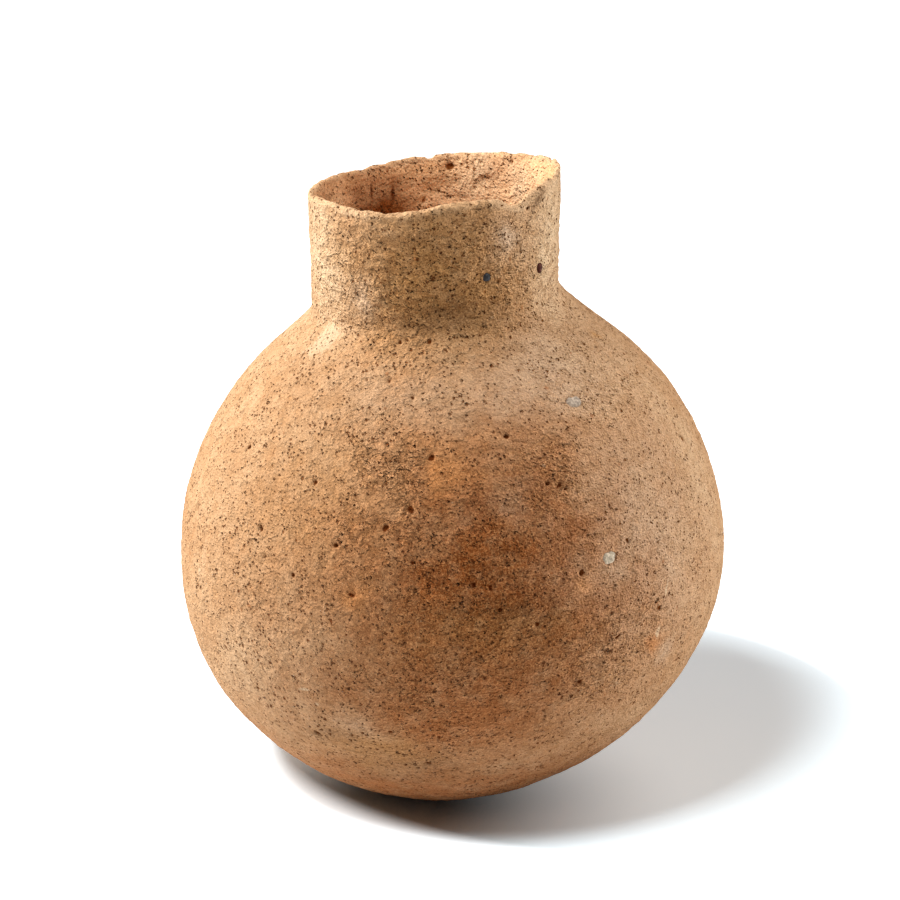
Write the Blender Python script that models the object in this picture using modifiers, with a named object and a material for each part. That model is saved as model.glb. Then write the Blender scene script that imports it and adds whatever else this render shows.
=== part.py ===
"""Hand-built terracotta jar, in the pieces that its potter formed and joined.

A pinched base bowl, six flattened wall coils, a neck collar and a rim coil, each lapped on the one
below, and the larger grains of temper that show in the wall. Metres, +Z up. The origin is the middle
of the flat place that the jar stands on, and +X points to the jar's fuller side.
"""

import math
from collections import namedtuple

import bmesh
import bpy
import numpy as np
from mathutils import Matrix, Vector

# Outer shape, as it would be if the jar were true
BASE_RADIUS = 0.0280
BELLY_RADIUS = 0.0900
BELLY_HEIGHT = 0.0795
NECK_RADIUS = 0.0398
NECK_ROOT_HEIGHT = 0.1598
NECK_HEIGHT = 0.0427
LIP_FLARE = 0.0014
ROOT_FILLET = 0.0170

# Wall thickness
BODY_WALL = 0.0068
NECK_WALL = 0.0056
LIP_WALL = 0.0036
LIP_CROWN = 0.0016

# How the pieces divide the wall, measured along its outer side
BOWL_RISE = 0.0240
COLLAR_RISE = 0.0265
JOINT_LAP = 0.0040
JOINT_GAP = 0.0003

# What the potter's hands left uneven
BELLY_SHIFT = 0.0038
BELLY_SHIFT_RISE = 0.0950
NECK_SHIFT = -0.0022
NECK_TILT = 0.0042
SHOULDER_SETTLE = 0.0220

# Fineness of the meshes
TURN_STEPS = 64
OUTLINE_POINTS = 400
COIL_SPANS = 3
BOWL_SPANS = 3
NECK_SPANS = 5
CROWN_SPANS = 4
PEBBLE_SEGMENTS = 14
PEBBLE_RINGS = 8
PEBBLE_CLEARANCE = 0.00025
MERGE_DISTANCE = 0.00001
SHARP_ANGLE = math.radians(40)

# Worn waves of the lip: where on the rim, how far it rises or dips, and how wide
LipWave = namedtuple("LipWave", "angle rise half_width")
LIP_WAVES = (
    LipWave(math.radians(-150), 0.0024, math.radians(22)),
    LipWave(math.radians(-78), 0.0014, math.radians(18)),
    LipWave(math.radians(-49), -0.0036, math.radians(9)),
    LipWave(math.radians(8), 0.0016, math.radians(26)),
    LipWave(math.radians(165), 0.0016, math.radians(16)),
)

# Clay pieces from the base up: name and fired colour
BOWL = ("base_bowl", (0.34, 0.17, 0.085))
WALL_COILS = (
    ("lower_wall_coil", (0.37, 0.17, 0.080)),
    ("lower_belly_coil", (0.37, 0.16, 0.075)),
    ("belly_coil", (0.38, 0.17, 0.080)),
    ("upper_belly_coil", (0.41, 0.21, 0.105)),
    ("lower_shoulder_coil", (0.43, 0.25, 0.135)),
    ("upper_shoulder_coil", (0.41, 0.25, 0.140)),
)
COLLAR = ("neck_collar", (0.36, 0.21, 0.105))
RIM = ("rim_coil", (0.37, 0.22, 0.110))
CLAY_ROUGHNESS = 0.92
PEBBLE_ROUGHNESS = 0.7

# Grains of temper: the piece each sits in, its angle round the jar, how far above the middle of that
# piece, its length round the jar, height up the wall and thickness, and how far it stands proud
Pebble = namedtuple("Pebble", "name seat angle offset length height thickness proud colour")
PEBBLES = (
    Pebble("white_pebble", "upper_belly_coil", math.radians(-56.5), 0.0004,
           0.0046, 0.0040, 0.0034, 0.0004, (0.62, 0.55, 0.46)),
    Pebble("grey_pebble", "upper_shoulder_coil", math.radians(-52.2), -0.0095,
           0.0056, 0.0036, 0.0032, 0.0003, (0.33, 0.28, 0.24)),
    Pebble("red_pebble", "neck_collar", math.radians(-33.1), 0.0045,
           0.0027, 0.0030, 0.0024, 0.0004, (0.12, 0.030, 0.020)),
    Pebble("blue_pebble", "neck_collar", math.radians(-65.6), 0.0070,
           0.0024, 0.0026, 0.0022, 0.0003, (0.20, 0.20, 0.21)),
)


def ease(share):
    """Smooth step from 0 to 1."""
    share = np.clip(share, 0.0, 1.0)
    return share * share * (3.0 - 2.0 * share)


def rounded_maximum(first, second, width):
    """The larger of two radii, with a fillet of this width where they cross."""
    overlap = np.maximum(width - np.abs(first - second), 0.0) / width
    return np.maximum(first, second) + overlap * overlap * width / 4.0


def outer_outline():
    """Radius and level along the outer side: across the base, up the belly, over the shoulder, up the neck."""
    base_radius = np.linspace(0.0, BASE_RADIUS, OUTLINE_POINTS)
    lower_height = BELLY_HEIGHT / math.sqrt(1.0 - (BASE_RADIUS / BELLY_RADIUS) ** 2)
    sweep = np.linspace(-math.acos(BASE_RADIUS / BELLY_RADIUS), 0.0, OUTLINE_POINTS)[1:]
    lower_radius = BELLY_RADIUS * np.cos(sweep)
    lower_level = BELLY_HEIGHT + lower_height * np.sin(sweep)
    upper_height = (NECK_ROOT_HEIGHT - BELLY_HEIGHT) / math.sqrt(1.0 - (NECK_RADIUS / BELLY_RADIUS) ** 2)
    upper_level = np.linspace(BELLY_HEIGHT, NECK_ROOT_HEIGHT + NECK_HEIGHT, OUTLINE_POINTS)[1:]
    dome = BELLY_RADIUS * np.sqrt(np.maximum(1.0 - ((upper_level - BELLY_HEIGHT) / upper_height) ** 2, 0.0))
    up_the_neck = np.clip((upper_level - NECK_ROOT_HEIGHT) / NECK_HEIGHT, 0.0, 1.0)
    neck = NECK_RADIUS + LIP_FLARE * up_the_neck**3
    upper_radius = rounded_maximum(dome, neck, ROOT_FILLET)
    radius = np.concatenate([base_radius, lower_radius, upper_radius])
    level = np.concatenate([np.zeros(OUTLINE_POINTS), lower_level, upper_level])
    return radius, level


class Wall:
    """The jar's wall before it was knocked out of true.

    A place in it is a run, measured along the outer side from the middle of the base, and a depth,
    measured straight in from the outer side.
    """

    def __init__(self):
        self.radius, self.level = outer_outline()
        steps = np.hypot(np.diff(self.radius), np.diff(self.level))
        self.run = np.concatenate([[0.0], np.cumsum(steps)])
        self.out_radius = np.gradient(self.level, self.run)
        self.out_level = -np.gradient(self.radius, self.run)
        self.root_run = self.run_at(NECK_ROOT_HEIGHT)
        self.lip_run = self.run[-1]

    def run_at(self, level):
        """How far along the outer side this level is met, above the base."""
        return float(np.interp(level, self.level[OUTLINE_POINTS - 1 :], self.run[OUTLINE_POINTS - 1 :]))

    def thickness(self, run):
        """Full on the body, thinner up the neck and thinnest at the lip."""
        to_neck = ease((run - self.root_run) / SHOULDER_SETTLE + 1.0)
        to_lip = ease((run - self.root_run) / (self.lip_run - self.root_run))
        neck = NECK_WALL + (LIP_WALL - NECK_WALL) * to_lip
        return BODY_WALL + (neck - BODY_WALL) * to_neck

    def outward(self, run):
        """Radius and level parts of the outer side's normal."""
        out_radius = np.interp(run, self.run, self.out_radius)
        out_level = np.interp(run, self.run, self.out_level)
        size = np.hypot(out_radius, out_level)
        return out_radius / size, out_level / size

    def place(self, run, depth):
        """Radius and level of a place in the wall."""
        out_radius, out_level = self.outward(run)
        radius = np.interp(run, self.run, self.radius) - depth * out_radius
        level = np.interp(run, self.run, self.level) - depth * out_level
        return radius, level


def potted(points, lip_seat):
    """True points moved to where the hand-built jar has them.

    The belly bulges to +X, the neck sits to -X and rises to +X, and the lip above its seat is worn
    in waves.
    """
    x, y, z = np.asarray(points, float).T
    angle = np.arctan2(y, x)
    on_neck = ease((z - NECK_ROOT_HEIGHT) / SHOULDER_SETTLE + 1.0)
    shift = BELLY_SHIFT * ease(z / BELLY_SHIFT_RISE) * (1.0 - on_neck) + NECK_SHIFT * on_neck
    lift = NECK_TILT * np.cos(angle) * on_neck
    on_lip = ease((z - lip_seat) / (NECK_ROOT_HEIGHT + NECK_HEIGHT - lip_seat))
    for wave in LIP_WAVES:
        turn = np.angle(np.exp(1j * (angle - wave.angle)))
        lift = lift + wave.rise * np.exp(-((turn / wave.half_width) ** 2)) * on_lip
    return np.stack([x + shift, y, z + lift], axis=1)


def joint_runs(wall):
    """Where the joints between the pieces come out on the outer side, from the base bowl's edge up."""
    bowl_edge = BASE_RADIUS + BOWL_RISE
    wall_joints = np.linspace(bowl_edge, wall.root_run, len(WALL_COILS) + 1)
    return [*wall_joints, wall.root_run + COLLAR_RISE]


def outer_side(wall, top, bottom, spans):
    """Places down the outer side."""
    return [wall.place(run, 0.0) for run in np.linspace(top, bottom, spans + 1)]


def inner_side(wall, bottom, top, spans):
    """Places up the inner side, which a lapped joint meets higher than the outer side."""
    runs = np.linspace(bottom + JOINT_LAP, top + JOINT_LAP, spans + 1)
    return [wall.place(run, wall.thickness(run)) for run in runs]


def coil_outline(wall, bottom, top, spans):
    """Closed section of a coil: down outside, in along its lower joint, up inside."""
    low = bottom + JOINT_GAP / 2.0
    high = top - JOINT_GAP / 2.0
    return outer_side(wall, high, low, spans) + inner_side(wall, low, high, spans)


def rim_outline(wall, bottom):
    """Closed section of the rim: a coil with a half-round crown in place of an upper joint."""
    low = bottom + JOINT_GAP / 2.0
    crown_run = wall.lip_run - LIP_CROWN
    runs = np.linspace(low + JOINT_LAP, crown_run, COIL_SPANS + 1)
    inside = [wall.place(run, wall.thickness(run)) for run in runs]
    crown = []
    for turn in np.linspace(math.pi, 0.0, CROWN_SPANS + 1)[1:-1]:
        run = crown_run + LIP_CROWN * math.sin(turn)
        depth = wall.thickness(crown_run) * (1.0 - math.cos(turn)) / 2.0
        crown.append(wall.place(run, depth))
    return outer_side(wall, crown_run, low, COIL_SPANS) + inside + crown


def bowl_outline(wall, top):
    """Open section of the bowl, from the axis up its inside, over the joint and down to the base."""
    high = top - JOINT_GAP / 2.0
    floor = [wall.place(run, wall.thickness(run)) for run in (0.0, BASE_RADIUS / 2.0, BASE_RADIUS)]
    runs = np.linspace(BASE_RADIUS, high + JOINT_LAP, BOWL_SPANS + 1)[1:]
    inside = [wall.place(run, wall.thickness(run)) for run in runs]
    under = [wall.place(run, 0.0) for run in (BASE_RADIUS / 2.0, 0.0)]
    return floor + inside + outer_side(wall, high, BASE_RADIUS, BOWL_SPANS) + under


def clear_scene():
    for leftover in list(bpy.data.objects):
        bpy.data.objects.remove(leftover)


def new_collection(name):
    collection = bpy.data.collections.new(name)
    bpy.context.scene.collection.children.link(collection)
    return collection


def fired(name, colour, roughness):
    """Plain rough material of one fired colour."""
    material = bpy.data.materials.new(name)
    material.use_nodes = True
    shader = material.node_tree.nodes["Principled BSDF"]
    shader.inputs["Base Color"].default_value = (*colour, 1.0)
    shader.inputs["Roughness"].default_value = roughness
    shader.inputs["Metallic"].default_value = 0.0
    return material


def turned_mesh(name, outline, closed):
    """The outline, turned once round the Z axis."""
    profile = bpy.data.meshes.new(name + "_profile")
    corners = [(radius, 0.0, level) for radius, level in outline]
    edges = [(start, start + 1) for start in range(len(corners) - 1)]
    if closed:
        edges.append((len(corners) - 1, 0))
    profile.from_pydata(corners, edges, [])
    guide = bpy.data.objects.new(name + "_profile", profile)
    bpy.context.scene.collection.objects.link(guide)
    screw = guide.modifiers.new("Turn", "SCREW")
    screw.steps = TURN_STEPS
    screw.render_steps = TURN_STEPS
    screw.use_merge_vertices = True
    screw.merge_threshold = MERGE_DISTANCE
    mesh = bpy.data.meshes.new_from_object(guide.evaluated_get(bpy.context.evaluated_depsgraph_get()))
    bpy.data.objects.remove(guide)
    bpy.data.meshes.remove(profile)
    mesh.name = name
    return mesh


def shade(mesh):
    mesh.shade_smooth()
    mesh.set_sharp_from_angle(angle=SHARP_ANGLE)


def add_clay_piece(jar, frame, piece, outline, lip_seat, closed=True):
    """One clay piece, turned, knocked out of true and set on its own lowest level."""
    name, colour = piece
    mesh = turned_mesh(name, outline, closed)
    points = np.empty(len(mesh.vertices) * 3)
    mesh.vertices.foreach_get("co", points)
    points = potted(points.reshape(-1, 3), lip_seat)
    seat = float(points[:, 2].min())
    points[:, 2] -= seat
    mesh.vertices.foreach_set("co", points.ravel())
    mesh.update()
    shade(mesh)
    mesh.materials.append(fired(name, colour, CLAY_ROUGHNESS))
    clay = bpy.data.objects.new(name, mesh)
    clay.location.z = seat
    clay.parent = frame
    jar.objects.link(clay)
    return clay


def grain_mesh(name, length, height, thickness):
    """A rounded grain, its length along X, height along Y and thickness along Z."""
    mesh = bpy.data.meshes.new(name)
    shape = bmesh.new()
    bmesh.ops.create_uvsphere(shape, u_segments=PEBBLE_SEGMENTS, v_segments=PEBBLE_RINGS, radius=0.5)
    bmesh.ops.scale(shape, vec=(length, height, thickness), verts=shape.verts)
    shape.to_mesh(mesh)
    shape.free()
    shade(mesh)
    return mesh


def seat_in_wall(wall, run, angle, depth, lip_seat):
    """Place and turn of a grain at this depth: X round the jar, Y up the wall, Z straight out."""
    nudge = JOINT_GAP
    samples = ((run, angle, depth), (run, angle + nudge, depth), (run + nudge, angle, depth))
    corners = []
    for at_run, at_angle, at_depth in samples:
        radius, level = wall.place(at_run, at_depth)
        corners.append((radius * math.cos(at_angle), radius * math.sin(at_angle), level))
    here, round_jar, up_wall = (Vector(corner) for corner in potted(corners, lip_seat))
    along = (round_jar - here).normalized()
    outward = along.cross(up_wall - here).normalized()
    turn = Matrix((along, outward.cross(along), outward)).transposed()
    return Matrix.Translation(here) @ turn.to_4x4()


def add_pebble(jar, cutters, frame, wall, pebble, clay, middle_run, lip_seat):
    """A grain of temper and the pocket that it sits in, a little proud of the wall."""
    place = seat_in_wall(
        wall,
        middle_run + pebble.offset,
        pebble.angle,
        pebble.thickness / 2.0 - pebble.proud,
        lip_seat,
    )
    size = np.array((pebble.length, pebble.height, pebble.thickness))
    mesh = grain_mesh(pebble.name, *size)
    mesh.materials.append(fired(pebble.name, pebble.colour, PEBBLE_ROUGHNESS))
    grain = bpy.data.objects.new(pebble.name, mesh)
    grain.matrix_world = place
    grain.parent = frame
    jar.objects.link(grain)
    pocket_name = pebble.name + "_pocket"
    pocket = bpy.data.objects.new(pocket_name, grain_mesh(pocket_name, *(size + 2.0 * PEBBLE_CLEARANCE)))
    pocket.matrix_world = place
    pocket.hide_render = True
    pocket.display_type = "WIRE"
    cutters.objects.link(pocket)
    cut = clay.modifiers.new(pocket_name, "BOOLEAN")
    cut.operation = "DIFFERENCE"
    cut.solver = "EXACT"
    cut.object = pocket


def main():
    clear_scene()
    jar = new_collection("terracotta_jar")
    cutters = new_collection("cutters")
    cutters.hide_render = True
    frame = bpy.data.objects.new("jar_frame", None)
    jar.objects.link(frame)

    wall = Wall()
    joints = joint_runs(wall)
    _, lip_seat = wall.place(joints[-1], 0.0)
    clay = {}
    middles = {}
    clay[BOWL[0]] = add_clay_piece(jar, frame, BOWL, bowl_outline(wall, joints[0]), lip_seat, closed=False)
    stacked = (*WALL_COILS, COLLAR)
    for piece, bottom, top in zip(stacked, joints[:-1], joints[1:]):
        spans = NECK_SPANS if piece is COLLAR else COIL_SPANS
        outline = coil_outline(wall, bottom, top, spans)
        clay[piece[0]] = add_clay_piece(jar, frame, piece, outline, lip_seat)
        middles[piece[0]] = (bottom + top) / 2.0
    clay[RIM[0]] = add_clay_piece(jar, frame, RIM, rim_outline(wall, joints[-1]), lip_seat)

    for pebble in PEBBLES:
        seat = pebble.seat
        add_pebble(jar, cutters, frame, wall, pebble, clay[seat], middles[seat], lip_seat)


main()
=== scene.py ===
"""Looks of a hand-built terracotta jar: pitted walls, a worn lip, grains of temper, and its stage."""

import itertools
import math
from collections import namedtuple

import bpy
import numpy as np
from bpy.props import FloatProperty, FloatVectorProperty, PointerProperty
from bpy.types import Operator, Panel, PropertyGroup
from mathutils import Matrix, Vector


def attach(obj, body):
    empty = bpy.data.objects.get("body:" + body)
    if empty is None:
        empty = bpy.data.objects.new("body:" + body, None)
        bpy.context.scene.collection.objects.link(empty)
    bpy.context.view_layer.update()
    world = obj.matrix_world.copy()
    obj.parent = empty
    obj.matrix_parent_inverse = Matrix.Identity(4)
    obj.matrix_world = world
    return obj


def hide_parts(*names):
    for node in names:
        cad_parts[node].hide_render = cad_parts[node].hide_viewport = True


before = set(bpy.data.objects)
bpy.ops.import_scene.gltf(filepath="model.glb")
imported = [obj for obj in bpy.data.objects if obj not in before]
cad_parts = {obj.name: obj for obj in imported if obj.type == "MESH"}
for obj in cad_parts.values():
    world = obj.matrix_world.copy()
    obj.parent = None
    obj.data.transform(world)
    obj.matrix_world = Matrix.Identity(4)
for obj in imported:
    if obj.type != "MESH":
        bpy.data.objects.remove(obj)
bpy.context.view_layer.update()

bl_info = {
    "name": "Terracotta Jar",
    "version": (1, 0, 0),
    "blender": (4, 5, 0),
    "location": "3D View > Sidebar > Jar",
    "description": "Builds the pitted clay, the grains of temper and the stage of a hand-built jar",
    "category": "Object",
}

BODY = "root"
MM = 0.001

# Pieces from the base up, with the record's material slot of each
BOWL = ("base_bowl", "base_clay")
WALL_COILS = (
    ("lower_wall_coil", "red_clay"),
    ("lower_belly_coil", "red_clay"),
    ("belly_coil", "red_clay"),
    ("upper_belly_coil", "tan_clay"),
    ("lower_shoulder_coil", "tan_clay"),
    ("upper_shoulder_coil", "tan_clay"),
)
COLLAR = ("neck_collar", "neck_clay")
RIM = ("rim_coil", "neck_clay")

# Fineness of the meshes: columns round the jar, and rows up the outer and the inner side of each piece
COLUMNS = 1200
OUTLINE_POINTS = 800
COIL_ROWS = (66, 9)
NECK_ROWS = (42, 34)
RIM_ROWS = (34, 34)
BOWL_ROWS = (62, 16)
JOINT_ROWS = 2
CROWN_ROWS = 9
STONE_ROWS = 30
STONE_COLUMNS = 48
# Run of the rows next to the bowl's poles
POLE_RUN = 0.0008

# A piece's map: arcs that the way round is cut into, their margin, and how fine the inner side is in it
UV_ARCS = 4
UV_MARGIN = 0.012
INNER_MAP_SHARE = 0.4

# A place on the wall: degrees round the jar from +X, millimetres up the outer side from the base's middle
LipWave = namedtuple("LipWave", "angle rise half_width")
Patch = namedtuple("Patch", "angle run width height strength")
Hollow = namedtuple("Hollow", "angle run width height depth")
Pebble = namedtuple("Pebble", "node slot angle run length height thickness proud tint")
# Lengths of these are in metres
Lumps = namedtuple("Lumps", "height width seed layers")
Scatter = namedtuple("Scatter", "spacing share smallest largest seed")
Lamp = namedtuple("Lamp", "name place size")

# Worn waves of the lip, the same as those of its solid
LIP_WAVES = (
    LipWave(-150, 2.4, 22),
    LipWave(-78, 1.4, 18),
    LipWave(-49, -3.6, 9),
    LipWave(8, 1.6, 26),
    LipWave(165, 1.6, 16),
)

# Grains of temper that have solids of their own: length round the jar, height, thickness, and how far out
PEBBLE_SEAT_DEPTH = 0.0006
PEBBLES = (
    Pebble("white_pebble", "white_stone", -56.5, 157.55, 4.6, 4.0, 3.4, 0.4, (0.58, 0.47, 0.34)),
    Pebble("grey_pebble", "grey_stone", -52.2, 207.75, 5.6, 3.6, 3.2, 0.3, (0.46, 0.36, 0.27)),
    Pebble("red_pebble", "red_stone", -33.1, 250.05, 2.7, 3.0, 2.4, 0.4, (0.075, 0.020, 0.012)),
    Pebble("blue_pebble", "blue_stone", -65.6, 252.55, 2.4, 2.6, 2.2, 0.3, (0.045, 0.043, 0.045)),
)

# Coloured places of the outer side, under the name of the mark that carries each kind
OUTER_PATCHES = {
    # Redder fired places
    "rust": (
        Patch(-82, 152, 58, 56, 0.9),
        Patch(-88, 168, 12, 8, 0.8),
        Patch(-95, 160, 10, 7, 0.8),
        Patch(-73, 158, 13, 12, 0.85),
        Patch(-78, 145, 20, 14, 0.85),
        Patch(-66, 183, 12, 8, 0.6),
        Patch(-73, 117, 14, 8, 0.7),
        Patch(-50, 121, 6, 5, 0.75),
        Patch(-90, 112, 50, 34, 0.75),
        Patch(-95, 60, 70, 26, 0.7),
        Patch(100, 140, 40, 40, 0.6),
        Patch(30, 120, 30, 30, 0.4),
    ),
    # Orange places where the clay is freshly bared
    "orange": (
        Patch(-90.5, 191, 8, 6, 0.85),
        Patch(-92, 199, 14, 5, 0.35),
        Patch(-58.5, 154.5, 3, 3.5, 1.0),
        Patch(-49, 120, 4, 4, 0.7),
        Patch(-109, 148, 4, 5, 0.5),
        Patch(70, 170, 12, 9, 0.6),
    ),
    # Paler places on both sides of the neck and on the shoulder
    "pale": (
        Patch(-155, 256, 14, 22, 0.95),
        Patch(-22, 258, 13, 24, 0.95),
        Patch(-45, 222, 16, 9, 0.4),
        Patch(-18, 170, 20, 40, 0.35),
        Patch(-135, 115, 24, 24, 0.35),
        Patch(-40, 150, 20, 24, 0.30),
        Patch(150, 240, 30, 26, 0.5),
    ),
    # Browner places on the neck and under its root
    "olive": (
        Patch(-92, 256, 24, 20, 0.9),
        Patch(-74, 246, 22, 12, 0.85),
        Patch(-130, 262, 12, 10, 0.45),
        Patch(-122, 176, 24, 24, 0.30),
        Patch(-108, 89, 18, 9, 0.6),
        Patch(-84, 140, 24, 10, 0.4),
        Patch(-17.4, 221, 3, 2, 0.9),
        Patch(110, 250, 30, 20, 0.6),
    ),
    # Greyer places on the shoulder and body
    "ash": (
        Patch(-55, 215, 30, 12, 0.5),
        Patch(-44, 162, 24, 36, 0.45),
        Patch(-79, 177, 9, 5, 0.25),
        Patch(-125, 247, 5, 4, 0.8),
        Patch(-56, 264, 6, 5, 0.95),
        Patch(-42, 117, 6, 4, 0.7),
        Patch(-113, 98, 9, 5, 0.35),
        Patch(-100, 216, 20, 6, 0.25),
        Patch(60, 210, 30, 16, 0.6),
    ),
    # Smears of pale slip
    "cream": (
        Patch(-147, 231, 5.0, 7.0, 0.85),
        Patch(-158, 137, 3.0, 2.5, 0.6),
        Patch(-48, 124.6, 0.9, 2.2, 0.8),
        Patch(-44.8, 139.7, 0.8, 2.4, 0.7),
        Patch(-121.8, 113, 1.4, 0.9, 0.9),
        Patch(-120.6, 107, 1.1, 0.9, 0.8),
    ),
    # Dark grime on the body and neck, and painted shade in the hollow under the neck and low on the front
    "soot": (
        Patch(-80, 243, 17, 5.0, 0.45),
        Patch(-76, 146, 12, 9, 0.35),
        Patch(-34, 275, 2.2, 1.8, 0.8),
        Patch(-120, 92, 10, 4, 0.35),
        Patch(-100, 78, 24, 12, 0.42),
    ),
}

# Single hollows: pits, slits along a joint, flaked places and the rough recess at the neck's root
HOLLOWS = (
    Hollow(-78, 242, 15, 3.4, 0.5),
    Hollow(-72, 243, 5, 1.2, 0.5),
    Hollow(-90, 244, 4, 1.0, 0.5),
    Hollow(-76.4, 199.5, 0.8, 0.8, 1.3),
    Hollow(-0.9, 205.5, 2.6, 0.6, 0.8),
    Hollow(-120.9, 94.5, 1.5, 0.8, 1.4),
    Hollow(-63.4, 76.9, 1.8, 0.5, 1.0),
    Hollow(-57, 80.2, 1.6, 0.5, 0.8),
    Hollow(-30.9, 112, 2.6, 0.6, 1.0),
    Hollow(-99.4, 176.6, 1.2, 1.4, 0.9),
    Hollow(-104.6, 170.3, 1.0, 1.0, 0.9),
    Hollow(-101.4, 167, 0.7, 3.0, 0.5),
    Hollow(-110.4, 149.1, 1.1, 1.0, 0.8),
    Hollow(-63.1, 154.7, 0.9, 0.8, 1.1),
    Hollow(-51.4, 161, 0.7, 1.0, 1.0),
    Hollow(-62.4, 118, 1.0, 0.9, 1.1),
    Hollow(-55, 131.3, 0.6, 0.6, 0.9),
    Hollow(-86, 154, 0.9, 0.8, 1.0),
    Hollow(-82.5, 153, 1.0, 0.8, 1.0),
    Hollow(-147.1, 185.9, 0.8, 0.8, 0.9),
    Hollow(-133.9, 192.9, 0.6, 0.9, 0.7),
    Hollow(-123.2, 181.3, 0.8, 0.8, 0.8),
    Hollow(-160.8, 158.9, 0.6, 2.2, 0.8),
    Hollow(-134.2, 163.1, 0.7, 0.7, 0.9),
    Hollow(-115, 163.3, 0.8, 0.8, 0.9),
    Hollow(-124, 151.9, 0.8, 0.7, 0.9),
    Hollow(-99.8, 214.2, 0.8, 0.7, 0.8),
    Hollow(-102.6, 100.3, 1.2, 0.6, 0.8),
    Hollow(-91.9, 99.1, 0.8, 0.7, 0.9),
    Hollow(-94, 85.3, 1.6, 0.7, 0.8),
    Hollow(-68, 183.5, 0.8, 0.7, 0.9),
    Hollow(-65.5, 182, 0.7, 0.7, 0.9),
    Hollow(-64, 181, 0.7, 0.6, 0.9),
    Hollow(80, 180, 1.2, 0.9, 1.1),
    Hollow(140, 120, 1.0, 1.0, 1.0),
    Hollow(45, 90, 2.4, 0.6, 0.9),
)
# Hollows of the inner side that show through the mouth
INNER_HOLLOWS = (
    Hollow(82.5, 272.3, 1.6, 1.1, 1.4),
    Hollow(112, 266, 1.0, 4.0, 0.8),
    Hollow(124, 268, 0.9, 5.0, 0.7),
    Hollow(62, 268, 2.4, 0.8, 0.7),
    Hollow(74, 262, 3.0, 0.9, 0.6),
    Hollow(96, 262, 1.0, 1.0, 0.9),
)
# Painted shade in the inner corner that the lip shades, and painted light where light falls on the inner
# side
INNER_PAINTED_SHADE_PATCHES = (Patch(122, 262, 10, 14, 1.2),)
INNER_PAINTED_LIGHT_PATCHES = (
    Patch(165, 262, 16, 20, 0.5),
    Patch(55, 268, 22, 12, 0.85),
)
# Coarser places, where the smoothed skin has worn away
ROUGH_PATCHES = (
    Patch(-84, 150, 46, 46, 0.75),
    Patch(-100, 176, 16, 18, 0.8),
    Patch(-68, 184, 20, 16, 0.7),
    Patch(-62, 126, 26, 20, 0.7),
    Patch(-106, 190, 16, 12, 0.8),
    Patch(-100, 118, 30, 12, 0.6),
    Patch(-90, 255, 60, 24, 0.7),
    Patch(-40, 210, 30, 18, 0.35),
    Patch(95, 170, 60, 60, 0.7),
)

# Unevenness of the clay: height and width of a cloud's lumps, its seed, and how many layers it has
SWELL_WIDTH = 0.050
LUMPS = Lumps(0.00020, 0.012, 21, 2)
SANDY_LUMPS = Lumps(0.00020, 0.0036, 31, 2)
SANDY_GRAIN = Lumps(0.00016, 0.0013, 35, 1)
SCRAPE_MARKS = Lumps(0.00018, 0.006, 37, 1)
INNER_LUMPS = Lumps(0.0007, 0.010, 95, 2)
INNER_GRAIN = Lumps(0.00012, 0.0016, 99, 1)
LIP_LUMPS = Lumps(0.0005, 0.012, 151, 3)
CROWN_LUMPS = Lumps(0.0005, 0.005, 131, 3)
# How far the borders of hollows and patches stray, and the radius at which that is taken round the jar
HOLLOW_STRAY = Lumps(0.0007, 0.0016, 81, 1)
HOLLOW_TURN_RADIUS = 0.07
PATCH_WANDER = Lumps(0.006, 0.016, 121, 1)
PATCH_RAGGEDNESS = Lumps(0.003, 0.006, 122, 1)
PATCH_TURN_RADIUS = 0.05
# Scrape marks run level round the jar, so their clouds change faster with height
SCRAPE_STRETCH = np.array((1.0, 1.0, 6.0))
# Coarseness of the smoothed skin, and what is added where it has worn away
SMOOTH_COARSENESS = 0.55
WORN_COARSENESS = 1.4

# Pits and grains: spacing of their lattice, share of its cells that hold one, range of radius, and seed
PITS = Scatter(0.0085, 0.38, 0.0004, 0.0012, 61)
GRAINS = Scatter(0.0032, 0.40, 0.0003, 0.0009, 71)
INNER_PITS = Scatter(0.0065, 0.10, 0.0004, 0.0011, 101)
INNER_GRAINS = Scatter(0.0040, 0.3, 0.0005, 0.0011, 111)
PIT_RAGGEDNESS = 0.0004
GRAIN_HEIGHT = 0.00014
INNER_PIT_DEPTH = 0.0007
INNER_GRAIN_HEIGHT = 0.0002

# Finger ridges and cracks of the inner side
RIDGE_HEIGHT = 0.00012
RIDGE_WIDTH = 0.0013
RIDGE_WANDER = 5.0
CRACK_DEPTH = 0.0006
CRACK_SHARE = 0.07

# The lip: how far it is rolled out over the neck, rubbed paler with a painted highlight, leant in at its
# top, and chipped
LIP_ROLL = 0.0008
LIP_WEAR_AND_HIGHLIGHT = 0.8
LIP_WEAR_AND_HIGHLIGHT_HEIGHT = 0.0035
LIP_LEAN = 0.0007
CHIP_DEPTH = 0.0009
CHIP_WIDTH = 0.004

# The relief fades out under this level, so that the base stays flat
STANDING_LEVEL = 0.003

# Noise of the clay's grains, in features a metre
FLAKES = 230.0
FINE_GRAINS = 760.0
SAND_GRAINS = 1650.0
GRIT_GRAINS = 2900.0
# Small pores: how many a metre, and the share of its cell that each fills
PORES = ((420.0, 0.14), (800.0, 0.17))

# The floor is white to the camera, and gives little light back to the jar.
# Its white is tinted blue, which paints out the warm light that the jar throws into its shadow.
# To the camera it also glows, from nothing at the darkest place to half white at the end of that reach,
# which paints the fading of the shadow, and fully white past the shadow's reach
FLOOR_HALF = 4.0
FLOOR_WHITE = (0.76, 0.89, 0.96)
BOUNCE_GREY = (0.72, 0.72, 0.72)
SHADOW_MIDDLE = (0.045, 0.035, 0.0)
SHADOW_REACH = (0.097, 0.113)
DARKEST_PLACE = (-0.014, -0.036, 0.0)
PAINTED_FILL_REACH = (0.012, 0.10)

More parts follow.
